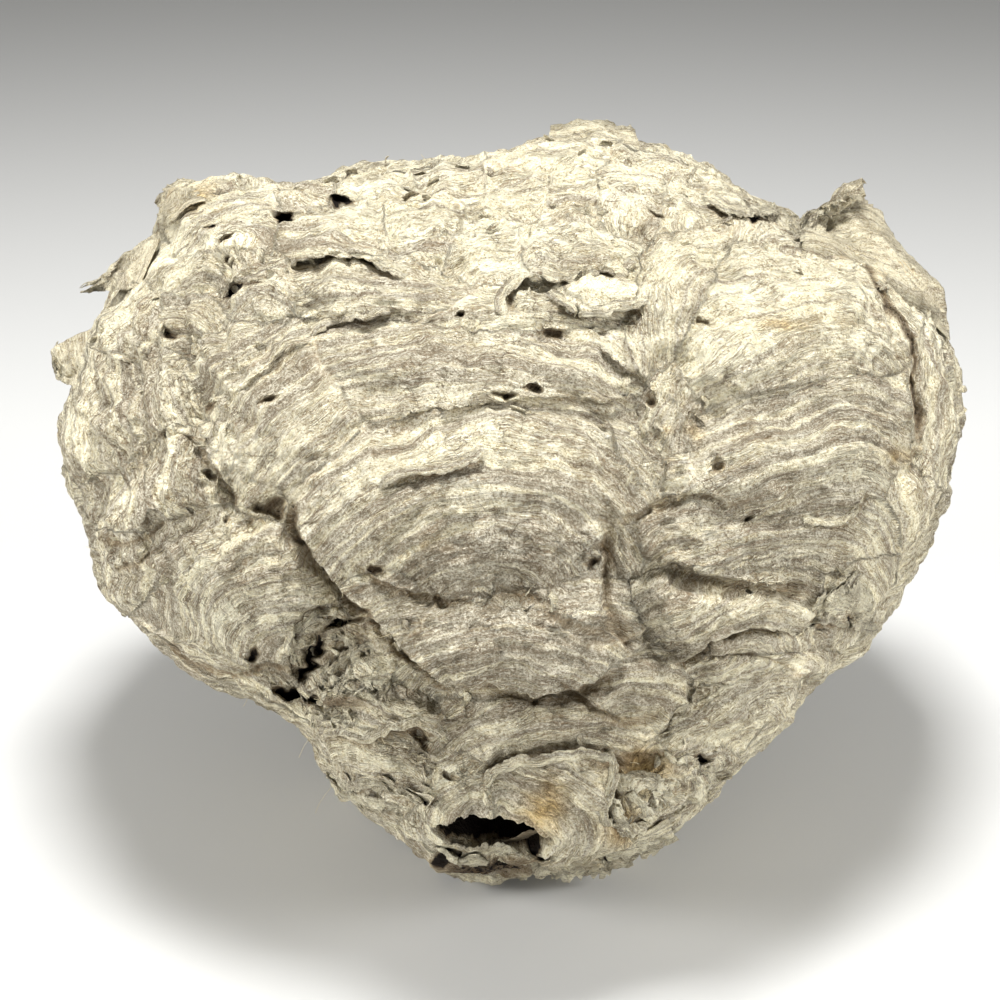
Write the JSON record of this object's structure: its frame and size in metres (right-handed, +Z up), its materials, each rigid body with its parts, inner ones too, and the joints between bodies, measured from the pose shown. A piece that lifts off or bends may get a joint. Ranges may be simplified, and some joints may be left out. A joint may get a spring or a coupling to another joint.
{
  "type": "hornet nest",
  "caption": "Grey-buff paper nest of an aerial hornet, a lumpy scalloped ball narrowing to a torn lip round its low entrance hole.",
  "frame": {"origin": "on the surface that the nest rests on, under the middle of its bounding box", "axes": "+X across the nest's width, +Y from its face to its back, +Z up; the entrance is low on the -Y side"},
  "size_m": [0.27, 0.233, 0.1922],
  "materials": {
    "nest_paper": "matte"
  },
  "bodies": {
    "root": {"paper_envelope": "nest_paper"}
  },
  "joints": []
}
